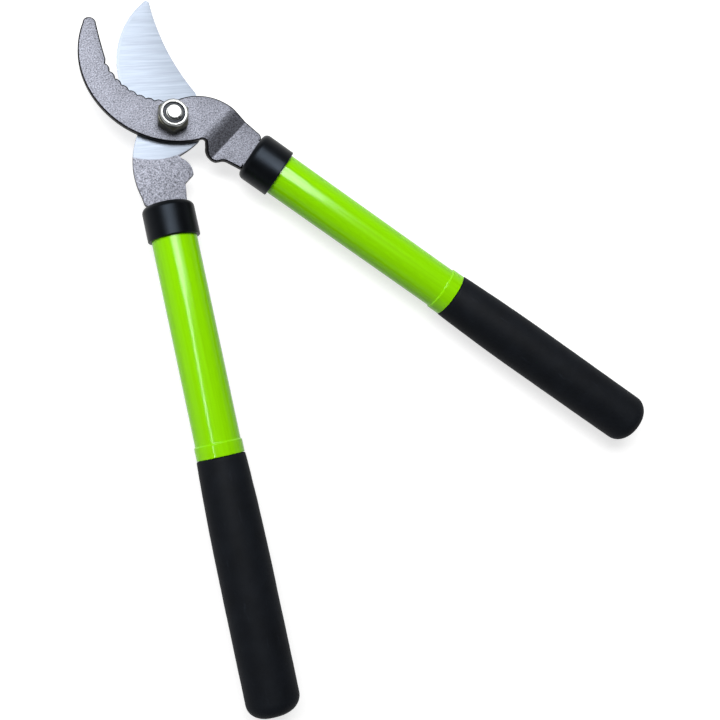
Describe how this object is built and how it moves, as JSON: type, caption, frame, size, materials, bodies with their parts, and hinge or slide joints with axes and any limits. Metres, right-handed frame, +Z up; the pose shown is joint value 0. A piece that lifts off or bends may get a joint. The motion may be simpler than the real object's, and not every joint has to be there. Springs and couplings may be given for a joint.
{
  "type": "bypass loppers",
  "caption": "Short bypass loppers: a toothed hook and a curved cutting blade on one pivot bolt, with round lime tube handles and black foam grips, for cutting branches.",
  "frame": {"origin": "bottom centre of the tool's box, as it lies flat with its handles 45 degrees apart", "axes": "+Y along the centre line from the grips to the jaws, +Z up along the pivot from the bolt's head to the nut"},
  "size_m": [0.2582, 0.3251, 0.0291],
  "materials": {
    "hook_steel": "tumbled matte grey",
    "blade_steel": "ground bright",
    "plated_steel": "bright plated",
    "ring_nylon": "moulded nylon",
    "ferrule_plastic": "satin moulded black",
    "packer_plastic": "moulded",
    "tube_paint": "glossy lime enamel",
    "grip_foam": "matte closed-cell foam"
  },
  "bodies": {
    "hook_side": {"hook_blade": "hook_steel", "pivot_bolt": "plated_steel", "pivot_nut": "plated_steel", "nut_locking_ring": "ring_nylon", "head_washer": "plated_steel", "right_ferrule": "ferrule_plastic", "right_upper_packer": "packer_plastic", "right_lower_packer": "packer_plastic", "right_tang_pin": "plated_steel", "right_tube": "tube_paint", "right_grip": "grip_foam", "right_end_plug": "packer_plastic"},
    "blade_side": {"cutting_blade": "blade_steel", "left_ferrule": "ferrule_plastic", "left_upper_packer": "packer_plastic", "left_lower_packer": "packer_plastic", "left_tang_pin": "plated_steel", "left_tube": "tube_paint", "left_grip": "grip_foam", "left_end_plug": "packer_plastic"}
  },
  "joints": [
    {"name": "pivot", "type": "hinge", "parent": "hook_side", "child": "blade_side", "pos_m": [0, 0.10127, 0.0131], "axis": [0, 0, 1], "range_deg": [-50, 23]}
  ]
}
